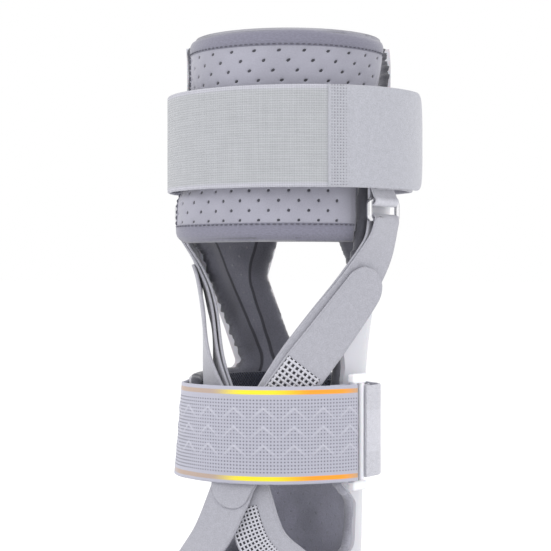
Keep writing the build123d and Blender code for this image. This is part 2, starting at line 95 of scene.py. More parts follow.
def polar(centre, radius, angle, z):
    """The point at this radius and angle (degrees from +X towards +Y) around centre."""
    a = radians(angle)
    return np.array([centre[0] + radius * cos(a), centre[1] + radius * sin(a), z])


# ---------------------------------------------------------------- shader toolkit


class Shader:
    """Builds one procedural material; a value may be a number or another node's output."""

    def __init__(self, name):
        self.material = bpy.data.materials.new(name)
        self.material.use_nodes = True
        self.nodes = self.material.node_tree.nodes
        self.links = self.material.node_tree.links
        self.nodes.clear()
        self.bsdf = self.nodes.new("ShaderNodeBsdfPrincipled")
        output = self.nodes.new("ShaderNodeOutputMaterial")
        self.links.new(self.bsdf.outputs[0], output.inputs[0])

    def put(self, socket, value):
        if isinstance(value, bpy.types.NodeSocket):
            self.links.new(value, socket)
        elif isinstance(value, tuple) and len(value) == 3 and socket.type == "RGBA":
            socket.default_value = (*value, 1.0)
        else:
            socket.default_value = value

    def set(self, **values):
        """Principled inputs by name, with spaces written as underscores."""
        for key, value in values.items():
            self.put(self.bsdf.inputs[key.replace("_", " ")], value)

    def math(self, operation, a, b=0.0, c=0.0):
        node = self.nodes.new("ShaderNodeMath")
        node.operation = operation
        for socket, value in zip(node.inputs, (a, b, c)):
            self.put(socket, value)
        return node.outputs[0]

    def times(self, a, b):
        return self.math("MULTIPLY", a, b)

    def plus(self, a, b):
        return self.math("ADD", a, b)

    def minus(self, a, b):
        return self.math("SUBTRACT", a, b)

    def attribute(self, name):
        node = self.nodes.new("ShaderNodeAttribute")
        node.attribute_name = name
        return node.outputs["Fac"]

    def position(self):
        """Position in millimetres, which stays with the mesh when a body moves."""
        node = self.nodes.new("ShaderNodeTexCoord")
        scale = self.nodes.new("ShaderNodeVectorMath")
        scale.operation = "SCALE"
        self.put(scale.inputs[0], node.outputs["Object"])
        scale.inputs["Scale"].default_value = 1000.0
        return scale.outputs[0]

    def xyz(self, vector):
        node = self.nodes.new("ShaderNodeSeparateXYZ")
        self.put(node.inputs[0], vector)
        return node.outputs

    def combine(self, x, y, z=0.0):
        node = self.nodes.new("ShaderNodeCombineXYZ")
        for socket, value in zip(node.inputs, (x, y, z)):
            self.put(socket, value)
        return node.outputs[0]

    def noise(self, vector, scale, detail=3.0, roughness=0.5):
        node = self.nodes.new("ShaderNodeTexNoise")
        self.put(node.inputs["Vector"], vector)
        node.inputs["Scale"].default_value = scale
        node.inputs["Detail"].default_value = detail
        node.inputs["Roughness"].default_value = roughness
        return node.outputs["Fac"]

    def mix(self, factor, a, b):
        node = self.nodes.new("ShaderNodeMix")
        node.data_type = "RGBA"
        self.put(node.inputs[0], factor)
        self.put(node.inputs[6], a)
        self.put(node.inputs[7], b)
        return node.outputs[2]

    def shade(self, colour, factor):
        """The colour multiplied by a number."""
        node = self.nodes.new("ShaderNodeVectorMath")
        node.operation = "SCALE"
        self.put(node.inputs[0], colour)
        self.put(node.inputs["Scale"], factor)
        return node.outputs[0]

    def span(self, value, low, high, to_low=0.0, to_high=1.0):
        """The value mapped smoothly from low..high to to_low..to_high, clamped."""
        node = self.nodes.new("ShaderNodeMapRange")
        node.interpolation_type = "SMOOTHSTEP"
        for socket, v in zip(node.inputs, (value, low, high, to_low, to_high)):
            self.put(socket, v)
        return node.outputs[0]

    def wave(self, value, pitch):
        """A sine of value with this pitch, from 0 to 1."""
        turned = self.times(value, 2 * pi / pitch)
        return self.math("MULTIPLY_ADD", self.math("SINE", turned), 0.5, 0.5)

    def lattice(self, u, v, pitch_u, pitch_v, radius, soft=0.3):
        """1 inside the dots of a staggered lattice, 0 outside. Rows are pitch_v apart."""
        row = self.math("ROUND", self.math("DIVIDE", v, pitch_v))
        dv = self.minus(v, self.times(row, pitch_v))
        odd = self.times(self.math("MODULO", self.math("ABSOLUTE", row), 2.0), pitch_u / 2)
        shifted = self.plus(u, odd)
        column = self.math("ROUND", self.math("DIVIDE", shifted, pitch_u))
        du = self.minus(shifted, self.times(column, pitch_u))
        squares = self.plus(self.times(du, du), self.times(dv, dv))
        return self.span(self.math("SQRT", squares), radius - soft, radius + soft, 1.0, 0.0)

    def bump(self, height, distance):
        """Bump from a height in 0..1, this many millimetres deep."""
        node = self.nodes.new("ShaderNodeBump")
        node.inputs["Strength"].default_value = 1.0
        node.inputs["Distance"].default_value = distance * MM
        self.put(node.inputs["Height"], height)
        self.put(self.bsdf.inputs["Normal"], node.outputs[0])

    def cloth(self, roughness=0.85, sheen=0.25):
        self.set(Roughness=roughness, Sheen_Weight=sheen, Sheen_Roughness=0.5, Specular_IOR_Level=0.25)


# ---------------------------------------------------------------- materials

LIGHT_GREY = (0.435, 0.445, 0.470)
TAB_GREY = (0.445, 0.450, 0.500)
PAD_GREY = (0.345, 0.342, 0.405)
BINDING_GREY = (0.205, 0.202, 0.260)
BAND_GREY = (0.455, 0.455, 0.535)
WEBBING_GREY = (0.410, 0.410, 0.460)
DARK_LINER = (0.200, 0.200, 0.240)
NAVY = (0.022, 0.025, 0.040)
WHITE = (0.58, 0.58, 0.63)


def run_across(s):
    return s.attribute("run"), s.attribute("across")


def elastic_material():
    """Light elastic: fine ribs along the strap, crossed by a finer weft."""
    s = Shader("elastic")
    u, v = run_across(s)
    uneven = s.noise(s.combine(s.times(u, 0.05), s.times(v, 0.8)), 1.0)
    columns = s.noise(s.combine(s.times(u, 0.7), s.times(v, 0.04)), 1.0)
    height = s.plus(s.times(s.wave(v, 1.25), 0.6), s.times(s.wave(u, 1.25), 0.4))
    tone = s.plus(s.span(uneven, 0.3, 0.7, 0.95, 1.02), s.span(columns, 0.3, 0.7, -0.03, 0.03))
    tone = s.times(tone, s.span(height, 0.0, 0.9, 0.84, 1.05))
    edge = s.span(s.math("ABSOLUTE", v), CALF_W / 2 - 3.0, CALF_W / 2 - 1.5)
    colour = s.mix(edge, LIGHT_GREY, (0.50, 0.50, 0.56))
    s.set(Base_Color=s.shade(colour, tone))
    s.bump(height, 0.25)
    s.cloth(0.9, 0.3)
    return s.material


def brushed(s, colour, position, grain=1.0):
    """Brushed loop fabric: short fibres, slightly cloudy."""
    fine = s.noise(position, 1.3 * grain, 5.0, 0.75)
    cloud = s.noise(position, 0.35, 3.0)
    tone = s.plus(s.span(fine, 0.3, 0.7, 0.84, 1.10), s.span(cloud, 0.3, 0.7, -0.035, 0.035))
    s.set(Base_Color=s.shade(colour, tone))
    return fine


def tab_material():
    """Brushed hook tab whose first few millimetres show a small square grid."""
    s = Shader("brushed_tab")
    u, v = run_across(s)
    place = s.combine(u, v)
    pit = s.times(s.wave(u, 1.55), s.wave(v, 1.55))
    zone = s.times(s.span(u, 1.0, 2.5), s.span(u, 7.5, 12.5, 1.0, 0.0))
    grid = s.times(s.span(pit, 0.35, 0.7), zone)
    colour = s.mix(s.times(grid, 0.75), TAB_GREY, (0.22, 0.22, 0.25))
    fine = brushed(s, colour, place)
    s.bump(s.minus(fine, s.times(grid, 0.8)), 0.25)
    s.cloth(0.92, 0.35)
    return s.material


def webbing_material(name="webbing", colour=WEBBING_GREY):
    """Brushed webbing with a woven edge."""
    s = Shader(name)
    u, v = run_across(s)
    fine = brushed(s, colour, s.combine(u, v))
    rib = s.wave(v, 0.8)
    edge = s.span(s.math("ABSOLUTE", v), CROSS_W / 2 - 2.2, CROSS_W / 2 - 1.4)
    s.bump(s.plus(fine, s.times(s.times(rib, edge), 0.7)), 0.2)
    s.cloth(0.9, 0.35)
    return s.material


def open_grid_material():
    """Threads of an open grid over a dark ground, by the thread attribute."""
    s = Shader("open_grid")
    thread = s.attribute("thread")
    fine = s.noise(s.position(), 2.5)
    light = s.shade((0.60, 0.60, 0.66), s.span(fine, 0.3, 0.7, 0.85, 1.1))
    s.set(Base_Color=s.mix(thread, (0.05, 0.05, 0.06), light))
    s.bump(fine, 0.1)
    s.cloth(0.8, 0.2)
    return s.material


def pad_material():
    """Shin pad face: smooth knit with punched holes."""
    s = Shader("perforated_knit")
    u, v = run_across(s)
    place = s.combine(u, v)
    fine = brushed(s, PAD_GREY, place, 1.2)
    hole = s.attribute("hole")
    worn = s.noise(place, 0.05)
    tone = s.times(s.span(fine, 0.25, 0.75, 0.90, 1.08), s.span(worn, 0.3, 0.7, 0.95, 1.05))
    s.set(Base_Color=s.mix(hole, s.shade(PAD_GREY, tone), (0.03, 0.03, 0.035)))
    s.bump(fine, 0.12)
    s.cloth(0.85, 0.4)
    return s.material


def binding_material():
    """Darker smooth binding tape."""
    s = Shader("binding_tape")
    u, v = run_across(s)
    place = s.combine(s.times(u, 0.35), v)
    fine = s.noise(place, 1.6, 4.0, 0.65)
    s.set(Base_Color=s.shade(BINDING_GREY, s.span(fine, 0.25, 0.75, 0.86, 1.12)))
    s.bump(s.plus(fine, s.times(s.wave(u, 0.9), 0.25)), 0.14)
    s.cloth(0.8, 0.45)
    return s.material


def thread_material(name, colour):
    """Twisted sewing thread."""
    s = Shader(name)
    place = s.position()
    twist = s.noise(place, 3.5, 2.0)
    s.set(Base_Color=s.shade(colour, s.span(twist, 0.3, 0.7, 0.8, 1.2)))
    s.bump(twist, 0.1)
    s.cloth(0.7, 0.2)
    return s.material


def band_material():
    """Woven elastic band: small grid, raised zigzags, a fading coloured stripe near both edges."""
    s = Shader("zigzag_elastic")
    u, v = run_across(s)
    pitch = 1.75
    weave = s.times(s.wave(u, pitch), s.wave(v, pitch))
    rows = s.wave(v, pitch)
    side = s.span(u, 95.0, 130.0)
    woven = s.times(weave, s.minus(1.0, side))
    pattern = s.plus(woven, s.times(s.times(rows, side), 0.7))
    inside = s.span(s.math("ABSOLUTE", v), BAND_W / 2 - 6.3, BAND_W / 2 - 5.3, 1.0, 0.0)
    plain = s.span(u, 10.0, 14.0)
    dark = s.times(s.times(s.span(pattern, 0.3, 0.85), inside), plain)
    fine = s.noise(s.combine(u, v), 2.4, 4.0, 0.6)
    tone = s.span(fine, 0.25, 0.75, 0.93, 1.06)
    ridge = s.attribute("ridge")
    dark = s.times(dark, s.minus(1.0, s.times(ridge, 0.85)))
    cloth = s.mix(s.times(dark, 0.72), BAND_GREY, (0.13, 0.13, 0.16))
    cloth = s.mix(s.times(ridge, 0.5), cloth, (0.60, 0.60, 0.67))
    distance = s.math("ABSOLUTE", s.minus(s.math("ABSOLUTE", v), BAND_W / 2 - 3.0))
    stripe = s.span(distance, 0.95, 1.35, 1.0, 0.0)
    orange = s.mix(s.span(u, 18.0, 34.0), (0.50, 0.36, 0.25), (0.93, 0.36, 0.035))
    yellow = s.mix(s.span(u, 48.0, 72.0), orange, (0.93, 0.78, 0.04))
    beige = s.mix(s.span(u, 84.0, 104.0), yellow, (0.47, 0.36, 0.30))
    fade = s.times(s.span(u, 11.0, 15.0), s.span(u, 128.0, 150.0, 1.0, 0.0))
    colour = s.mix(s.times(stripe, fade), cloth, beige)
    s.set(Base_Color=s.shade(colour, tone))
    raised = s.minus(1.0, dark)
    relief = s.plus(s.times(raised, 0.8), s.times(fine, 0.2))
    s.bump(relief, 0.35)
    s.cloth(0.85, 0.25)
    return s.material


def liner_material(name, colour, rim, dots):
    """Dark perforated lining with a seamed border, darker towards the bottom; around the ankle it and its
    edge are painted lighter, as painted light from the front.
    """
    s = Shader(name)
    u, v = run_across(s)
    place = s.position()
    height = s.xyz(place)[2]
    fine = s.noise(place, 1.3, 4.0, 0.65)
    cloud = s.noise(place, 0.03, 2.0)
    tone = s.times(s.span(fine, 0.25, 0.75, 0.86, 1.14), s.span(cloud, 0.3, 0.7, 0.80, 1.30))
    edge = s.attribute("edge")
    inside = s.span(edge, SEAM_IN + 1.0, SEAM_IN + 2.5)
    dot = s.times(s.lattice(u, v, 11.0, 5.2, 0.6, 0.25), inside)
    # Painted shade: a near-black line along the seam, standing for the shade in its sewn crease.
    seam_shade = s.span(s.math("ABSOLUTE", s.minus(edge, SEAM_IN)), 0.5, 1.1, 1.0, 0.0)
    border = s.span(edge, SEAM_IN - 0.6, SEAM_IN, 0.80, 1.0)
    # Below 45 mm the lining is darker towards the bottom.
    sole = s.span(height, 14.0, 45.0, 0.55, 1.0)
    # Painted light: from 150 mm down to 60 mm the lining is painted up to 1.9 times lighter, as if lit from
    # the front around the ankle; the darkening towards the bottom is multiplied in.
    painted_light_with_sole = s.times(s.span(height, 60.0, 150.0, 1.9, 1.0), sole)
    face = s.shade(colour, s.times(s.times(tone, border), painted_light_with_sole))
    face = s.mix(s.times(dot, dots), face, (0.34, 0.34, 0.38))
    face = s.mix(s.times(seam_shade, 0.75), face, (0.02, 0.02, 0.025))
    # Painted light: below the ankle the turned edge takes the light rim colour, as if lit from the front;
    # above 90 mm it is near black.
    folded = s.mix(s.span(height, 70.0, 90.0), rim, (0.075, 0.075, 0.092))
    turned = s.times(s.attribute("rim"), s.span(edge, 1.5, 4.0, 1.0, 0.35))
    s.set(Base_Color=s.mix(turned, face, s.shade(folded, tone)))
    s.bump(s.minus(fine, dot), 0.25)
    s.cloth(0.62, 0.5)
    return s.material


def mesh_material():
    """Navy spacer mesh: tiny staggered openings."""
    s = Shader("navy_spacer_mesh")
    u, v = run_across(s)
    hole = s.lattice(u, v, 2.0, 1.1, 0.42, 0.2)
    fine = s.noise(s.position(), 2.0)
    colour = s.shade(NAVY, s.span(fine, 0.3, 0.7, 0.9, 1.5))
    s.set(Base_Color=s.mix(hole, s.shade(colour, 1.8), (0.006, 0.006, 0.009)))
    s.bump(s.minus(fine, s.times(hole, 1.2)), 0.3)
    s.cloth(0.7, 0.4)
    return s.material


def plastic_material(name, colour, roughness, speckle):
    """Moulded plastic: faint flow clouding, fine orange peel, a few handling marks."""
    s = Shader(name)
    place = s.position()
    cloud = s.noise(place, 0.018, 3.0)
    peel = s.noise(place, 0.8, 2.0)
    marks = s.noise(s.combine(s.times(s.xyz(place)[0], 0.3), s.xyz(place)[2]), 0.5, 5.0, 0.75)
    s.set(
        Base_Color=s.shade(colour, s.span(cloud, 0.3, 0.7, 0.965, 1.02)),
        Roughness=s.plus(roughness, s.span(marks, 0.5, 0.8, 0.0, speckle)),
        Subsurface_Weight=0.08,
        Subsurface_Scale=0.004,
        Specular_IOR_Level=0.5,
    )
    s.bump(peel, 0.03)
    return s.material


def metal_material(name, colour, roughness):
    """Polished wire or rivet metal with fine scratches."""
    s = Shader(name)
    place = s.position()
    drawn = s.combine(s.times(s.xyz(place)[0], 6.0), s.xyz(place)[1], s.xyz(place)[2])
    scratch = s.noise(drawn, 1.4, 4.0, 0.7)
    s.set(
        Base_Color=s.shade(colour, s.span(scratch, 0.3, 0.7, 0.92, 1.03)),
        Metallic=1.0,
        Roughness=s.span(scratch, 0.3, 0.8, roughness, roughness + 0.15),
    )
    s.bump(scratch, 0.02)
    return s.material


M = {
    "elastic": elastic_material(),
    "tab": tab_material(),
    "webbing": webbing_material(),
    "ring_webbing": webbing_material("ring_webbing", (0.58, 0.58, 0.64)),
    "grid": open_grid_material(),
    "pad": pad_material(),
    "binding": binding_material(),
    "thread": thread_material("dark_thread", (0.10, 0.10, 0.13)),
    "band": band_material(),
    # The third colour of each lining is the painted light of its turned edge below the ankle.
    "liner": liner_material("perforated_liner", DARK_LINER, (0.36, 0.36, 0.42), 0.5),
    "foam": liner_material("pad_lining", (0.06, 0.06, 0.075), (0.36, 0.36, 0.42), 0.4),
    "mesh": mesh_material(),
    "shell": plastic_material("moulded_shell", WHITE, 0.32, 0.12),
    "ring": plastic_material("moulded_ring", (0.86, 0.86, 0.90), 0.22, 0.08),
    "steel": metal_material("polished_wire", (0.72, 0.72, 0.74), 0.12),
    "rivet": metal_material("satin_rivet", (0.74, 0.74, 0.76), 0.3),
}

# ---------------------------------------------------------------- mesh toolkit


def dress(mesh, material, **attributes):
    """Gives the mesh one material, smooth shading and float attributes per point."""
    for key, values in attributes.items():
        layer = mesh.attributes.new(key, "FLOAT", "POINT")
        layer.data.foreach_set("value", np.asarray(values, np.float32))
    mesh.materials.clear()
    mesh.materials.append(material)
    mesh.polygons.foreach_set("use_smooth", [True] * len(mesh.polygons))
    mesh.polygons.foreach_set("material_index", [0] * len(mesh.polygons))


def make_mesh(name, points, faces, material, **attributes):
    """A mesh object from points in millimetres, with float attributes per point."""
    mesh = bpy.data.meshes.new(name)
    mesh.from_pydata((np.asarray(points) * MM).tolist(), [], faces)
    mesh.validate()
    dress(mesh, material, **attributes)
    piece = bpy.data.objects.new(name, mesh)
    bpy.context.scene.collection.objects.link(piece)
    return piece


def spline(points, step):
    """Catmull-Rom curve through the rows of points, resampled about every step along its length."""
    p = np.asarray(points, float)
    p = np.vstack([2 * p[0] - p[1], p, 2 * p[-1] - p[-2]])
    fine = []
    for i in range(1, len(p) - 2):
        t = np.linspace(0, 1, 24, endpoint=False)[:, None]
        a, b, c, d = p[i - 1], p[i], p[i + 1], p[i + 2]
        square, cube = 2 * a - 5 * b + 4 * c - d, 3 * b - a - 3 * c + d
        fine.append(0.5 * (2 * b + (c - a) * t + square * t**2 + cube * t**3))
    fine = np.vstack(fine + [p[-2:-1]])
    length = np.concatenate([[0], np.cumsum(np.linalg.norm(np.diff(fine[:, :3], axis=0), axis=1))])
    count = max(2, int(round(length[-1] / step)) + 1)
    at = np.linspace(0, length[-1], count)
    return np.column_stack([np.interp(at, length, fine[:, k]) for k in range(fine.shape[1])]), at


def unit(v):
    return v / np.maximum(np.linalg.norm(v, axis=-1, keepdims=True), 1e-9)


def tube_faces(base, count, sides):
    """Faces of a closed tube whose count rings of points start at index base."""
    faces = []
    for i in range(count - 1):
        for q in range(sides):
            a, b = base + sides * i + q, base + sides * i + (q + 1) % sides
            faces.append([a, b, b + sides, a + sides])
    faces.append([base + q for q in range(sides)][::-1])
    faces.append([base + sides * (count - 1) + q for q in range(sides)])
    return faces


def grid_sheet(name, outer, inner, material, **attributes):
    """A closed thin sheet from two grids of points, rows by columns."""
    rows, columns = outer.shape[:2]
    points = np.concatenate([outer.reshape(-1, 3), inner.reshape(-1, 3)])
    index = np.arange(rows * columns).reshape(rows, columns)
    shift = rows * columns
    a, b = index[:-1, :-1].ravel(), index[:-1, 1:].ravel()
    c, d = index[1:, 1:].ravel(), index[1:, :-1].ravel()
    faces = np.column_stack([a, b, c, d]).tolist()
    faces += np.column_stack([d + shift, c + shift, b + shift, a + shift]).tolist()
    rim = list(index[0, :]) + list(index[1:, -1]) + list(index[-1, -2::-1]) + list(index[-2:0:-1, 0])
    faces += [[q, p, p + shift, q + shift] for p, q in zip(rim, rim[1:] + rim[:1])]
    doubled = {key: np.concatenate([value.ravel()] * 2) for key, value in attributes.items()}
    return make_mesh(name, points, faces, material, **doubled)


def frame_along(path, step):
    """Centres, sideways and outward directions and run along a strap's path (x, y, z, outward x, y, z)."""
    rows, run = spline(path, step)
    centre = rows[:, :3]
    along = unit(np.gradient(centre, axis=0))
    side = unit(np.cross(along, unit(rows[:, 3:6])))
    return centre, side, np.cross(side, along), run


def section(half, thick, step):
    """Cross-section of a strap: offsets across and out, going round, with rounded edges."""
    r = min(thick / 2, half)
    phi = np.radians([0, 30, 60, 90])
    flat = np.linspace(-(half - r), half - r, max(3, int(round(2 * half / step)) + 1))[1:-1]
    across = np.concatenate([-(half - r) - r * np.sin(phi[::-1]), flat, (half - r) + r * np.sin(phi)])
    out = np.concatenate([np.cos(phi[::-1]), np.ones(len(flat)), np.cos(phi)]) * thick / 2
    inner = slice(-2, 0, -1)
    return np.concatenate([across, across[inner]]), np.concatenate([out, -out[inner]]), len(across)


def ribbon(name, path, width, thick, material, step=1.5, cross_step=2.0, tip=0.0, base=0.0, relief=None):
    """A strap along path; tip and base round its end and start by that radius.
    relief(run, across) gives extra height of the outer face and its ridge attribute."""
    centre, side, out, run = frame_along(path, step)
    across0, out0, outer_count = section(width / 2, thick, cross_step)
    scale = np.ones(len(run))
    for radius, distance in ((tip, run[-1] - run), (base, run)):
        if radius > 0:
            inside = np.clip(distance, 0, radius)
            cut = radius - np.sqrt(np.maximum(radius**2 - (radius - inside) ** 2, 0))
            scale = np.minimum(scale, np.maximum((width / 2 - cut) / (width / 2), 0.04))
    across = across0[None, :] * scale[:, None]
    height = np.repeat(out0[None, :], len(run), 0)
    runs = np.repeat(run[:, None], across.shape[1], 1)
    ridge = np.zeros_like(across)
    if relief is not None:
        extra, value = relief(runs[:, :outer_count], across[:, :outer_count])
        height[:, :outer_count] += extra
        ridge[:, :outer_count] = value
    points = centre[:, None, :] + side[:, None, :] * across[..., None] + out[:, None, :] * height[..., None]
    marks = {"run": runs.ravel(), "across": across.ravel(), "ridge": ridge.ravel()}
    return make_mesh(name, points.reshape(-1, 3), tube_faces(0, *across.shape), material, **marks)


def open_grid(name, path, run_range, across_range, pitch, lift, material):
    """An open square grid of woven threads lying lift above the path, on a thin dark ground."""
    centre, side, out, run = frame_along(path, 0.5)
    verts, faces, thread = [], [], []

    def strip(line, sides, ups, half, thick, value):
        base = len(verts)
        for c, s, u in zip(line, sides, ups):
            bottom, top = c - u * thick, c + u * thick
            verts.extend([bottom - s * half, bottom + s * half, top + s * half, top - s * half])
        faces.extend(tube_faces(base, len(line), 4))
        thread.extend([value] * (4 * len(line)))

    inside = (run >= run_range[0]) & (run <= run_range[1])
    c, s, o = centre[inside], side[inside], out[inside]
    low, high = across_range
    strip(c + s * (low + high) / 2 + o * (lift + 0.1), s, o, (high - low) / 2, 0.1, 0.0)
    for across in np.arange(low + pitch / 2, high, pitch):
        strip(c + s * across + o * (lift + 0.45), s, o, pitch * 0.22, 0.22, 1.0)
    for at in np.arange(run_range[0] + pitch / 2, run_range[1], pitch):
        middle = [np.array([np.interp(at, run, v[:, k]) for k in range(3)]) for v in (centre, side, out)]
        line = [middle[0] + middle[1] * a + middle[2] * (lift + 0.5) for a in np.linspace(low, high, 24)]
        forward = np.cross(middle[1], middle[2])
        strip(line, [forward] * 24, [middle[2]] * 24, pitch * 0.22, 0.22, 1.0)
    return make_mesh(name, verts, faces, material, thread=thread)


def run_at_height(path, z):
    """Run along the path at which it comes down to height z."""
    centre, _, _, run = frame_along(path, 0.5)
    return float(run[np.argmax(centre[:, 2] <= z)])


def radial(points, centre):
    """Rows of points with their outward direction from a vertical axis."""
    p = np.asarray(points, float)
    out = np.column_stack([p[:, 0] - centre[0], p[:, 1] - centre[1], np.zeros(len(p))])
    return np.column_stack([p, unit(out)])


FOLD_WIDTH, FOLD_EXTRA, FOLD_FADE = 3.6, 3.4, 2.6  # of the lining's fold, behind the strap, at its end
STRAP_LOW, STRAP_HIGH = 188.0, 236.0  # heights between which it is wider on the outer side
OUTER_X = 30.0  # the outer side's edge lies beyond this
FOLD_REACH = 2.6  # how far the fold stands past the shell's cut edge
GROOVE_DEPTH, GROOVE_WIDTH = 0.9, 0.9
BEAD_HEIGHT, BEAD_AT, BEAD_WIDTH = 0.8, 3.5, 4.0  # the soft bead beside the edge
FLOOR_TOP = 24.0  # the footbed's lining lies below this height
FAR_EDGE = 30.0  # distances to the lining's edge are not told apart beyond this


def remeshed(name, node, voxel, rounds):
    """A new piece from a CAD node's mesh, remeshed in voxels and smoothed."""
    piece = bpy.data.objects.new(name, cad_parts[node].data.copy())
    bpy.context.scene.collection.objects.link(piece)
    remesh = piece.modifiers.new("remesh", "REMESH")
    remesh.mode = "VOXEL"
    remesh.voxel_size = voxel * MM
    smooth = piece.modifiers.new("smooth", "SMOOTH")
    smooth.factor, smooth.iterations = 0.6, rounds
    apply_modifiers(piece)
    return piece


def folded_edge(mesh, co, normal, out, inward, edge, fold):
    """The lining's points, its edge laid fold over the shell's cut edge, with a bead and a sewn groove."""
    under_strap = np.clip((co[:, 2] - STRAP_LOW) / 8, 0, 1) * np.clip((STRAP_HIGH - co[:, 2]) / 8, 0, 1)
    wide = FOLD_WIDTH + FOLD_EXTRA * under_strap * (co[:, 0] > OUTER_X)
    near = np.clip((wide - edge) / FOLD_FADE, 0, 1)[:, None]
    outside = np.clip((0.6 - inward) / 1.1, 0, 1)[:, None]
    groove = np.exp(-(((edge - SEAM_IN) / GROOVE_WIDTH) ** 2))[:, None] * (inward[:, None] > 0.5)
    bead = np.clip(1 - np.abs(edge - BEAD_AT) / BEAD_WIDTH, 0, 1)[:, None] * (inward[:, None] > 0.3)
    beside = evened(mesh, np.clip((0.95 - np.abs(inward)) / 0.5, 0, 1), 3)[:, None]
    sideways = unit(normal + out * inward[:, None])
    co = co + sideways * FOLD_REACH * beside * near + out * (fold * near * outside)
    return co + out * (GROOVE_DEPTH * groove - BEAD_HEIGHT * bead)


def soften(name, node, voxel, rounds, material, centre, swell=0.0, fold=0.0):
    """A piece in a soft CAD solid's place: remeshed, rounded and swollen, its edge folded outwards."""
    piece = remeshed(name, node, voxel, rounds)
    mesh = piece.data
    co, normal = read_vertices(mesh, "co") / MM, read_vertices(mesh, "normal")
    height, up = co[:, 2], normal[:, 2]
    away = np.column_stack([co[:, 0] - centre[0], co[:, 1] - centre[1], np.zeros(len(co))])
    out = unit(away)
    inward = evened(mesh, -(out * normal).sum(1), 7)
    facing = np.maximum(inward, np.where(height < 30, up, -1.0))
    above_floor = (height > 26) & ((np.abs(up) < 0.9) | (height > 30))
    edge = evened(mesh, edge_distance(co, (np.abs(inward) < 0.5) & above_floor), 14)
    floor = (height < FLOOR_TOP) & (up > 0.7)
    run = np.where(floor, co[:, 0], np.arctan2(away[:, 1], away[:, 0]) * 50.0)
    across = np.where(floor, co[:, 1], height)
    rim = np.clip((0.55 - facing) / 0.3, 0, 1)
    if fold:
        co = folded_edge(mesh, co, normal, out, inward, edge, fold)
    write_points(mesh, (co + normal * swell) * MM)
    if fold:
        settle = piece.modifiers.new("settle", "SMOOTH")
        settle.factor, settle.iterations = 0.5, 8
    dress(mesh, material, run=run, across=across, rim=rim, edge=np.minimum(edge, FAR_EDGE))
    apply_modifiers(piece)
    return piece


def evened(mesh, values, rounds):
    """The values at a mesh's points, averaged with their neighbours' a number of times."""
    ends = np.zeros(len(mesh.edges) * 2, np.int32)
    mesh.edges.foreach_get("vertices", ends)
    a, b = ends[::2], ends[1::2]
    count = np.maximum(np.bincount(a, minlength=len(values)) + np.bincount(b, minlength=len(values)), 1)
    for _ in range(rounds):
        total = np.bincount(a, values[b], len(values)) + np.bincount(b, values[a], len(values))
        values = (values + total / count) / 2
    return values


def edge_distance(co, on_edge):
    """Distance of every point to the nearest edge point, in millimetres."""
    chosen = co[on_edge]
    if len(chosen) == 0:
        return np.full(len(co), FAR_EDGE)
    tree = KDTree(len(chosen))
    for i, point in enumerate(chosen.tolist()):
        tree.insert(point, i)
    tree.balance()
    return np.array([tree.find(point)[2] for point in co.tolist()])


def apply_modifiers(piece):
    """Bakes the piece's modifiers into its mesh."""
    graph = bpy.context.evaluated_depsgraph_get()
    baked = bpy.data.meshes.new_from_object(piece.evaluated_get(graph))
    piece.modifiers.clear()
    piece.data = baked


def read_vertices(mesh, key):
    """The co or the normal of every vertex, one row each."""
    values = np.zeros(len(mesh.vertices) * 3, np.float32)
    mesh.vertices.foreach_get(key, values)
    return values.reshape(-1, 3).astype(float)


def write_points(mesh, co):
    mesh.vertices.foreach_set("co", np.asarray(co, np.float32).ravel())
    mesh.update()


def stitches(name, points, outs, length, gap, radius, material):
    """A row of sewn stitches along points: short rounded threads that dip at both ends."""
    rows, run = spline(np.column_stack([points, outs]), 0.4)
    count = int(run[-1] / (length + gap))
    verts, faces = [], []
    sides, rings = 6, 5
    for k in range(count):
        start = k * (length + gap) + gap / 2
        at = np.linspace(start, start + length, rings)
        centre = np.column_stack([np.interp(at, run, rows[:, j]) for j in range(3)])
        out = unit(np.column_stack([np.interp(at, run, rows[:, j]) for j in range(3, 6)]))
        bow = np.sin(np.linspace(0, pi, rings))
        centre = centre + out * ((bow - 0.6) * radius)[:, None]
        along = unit(np.gradient(centre, axis=0))
        side = unit(np.cross(along, out))
        for j in range(rings):
            r = radius * (0.55 + 0.45 * bow[j])
            for q in range(sides):
                a = 2 * pi * q / sides
                verts.append(centre[j] + (side[j] * cos(a) + out[j] * sin(a)) * r)
        faces += tube_faces(k * rings * sides, rings, sides)
    return make_mesh(name, verts, faces, material)


def place(piece, body, slot, *nodes):
    """Rides the piece on its body and hides the CAD nodes it stands for; slot is not used."""
    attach(piece, body)
    if nodes:
        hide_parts(*nodes)


def bend(piece, body, start, end, slot, *nodes):
    """Bakes the piece's placement into its mesh and hides the CAD nodes it stands for; body, start, end and
    slot are not used.
    """
    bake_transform(piece)
    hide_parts(*nodes)


# ---------------------------------------------------------------- hard parts keep their CAD shape

for node, material in (
    ("shell", "shell"),
    ("ankle_ring", "ring"),
    ("d_ring_lateral", "steel"),
    ("d_ring_medial", "steel"),
    ("calf_strap_rivets", "rivet"),
    ("ring_tab_rivets", "rivet"),
    ("keeper_rivets", "rivet"),
    ("foot_anchor_rivets", "rivet"),
):
    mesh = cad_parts[node].data
    mesh.materials.clear()
    mesh.materials.append(M[material])

# ---------------------------------------------------------------- linings

place(
    soften("shell_lining", "shell_liner", 1.3, 14, M["liner"], (0, 10), fold=3.2),
    "root", "liner_foam", "shell_liner",
)
place(soften("foot_lining", "footbed", 1.6, 4, M["liner"], (0, 10)), "root", "liner_foam", "footbed")
place(soften("ankle_mesh_pad", "ankle_pad", 1.4, 6, M["mesh"], (0, 1), 0.3), "root", "navy_mesh", "ankle_pad")
place(
    soften("landing_patch", "ankle_landing_patch", 0.6, 3, M["foam"], (0, 1)),
    "root", "liner_foam", "ankle_landing_patch",
)

# ---------------------------------------------------------------- calf strap


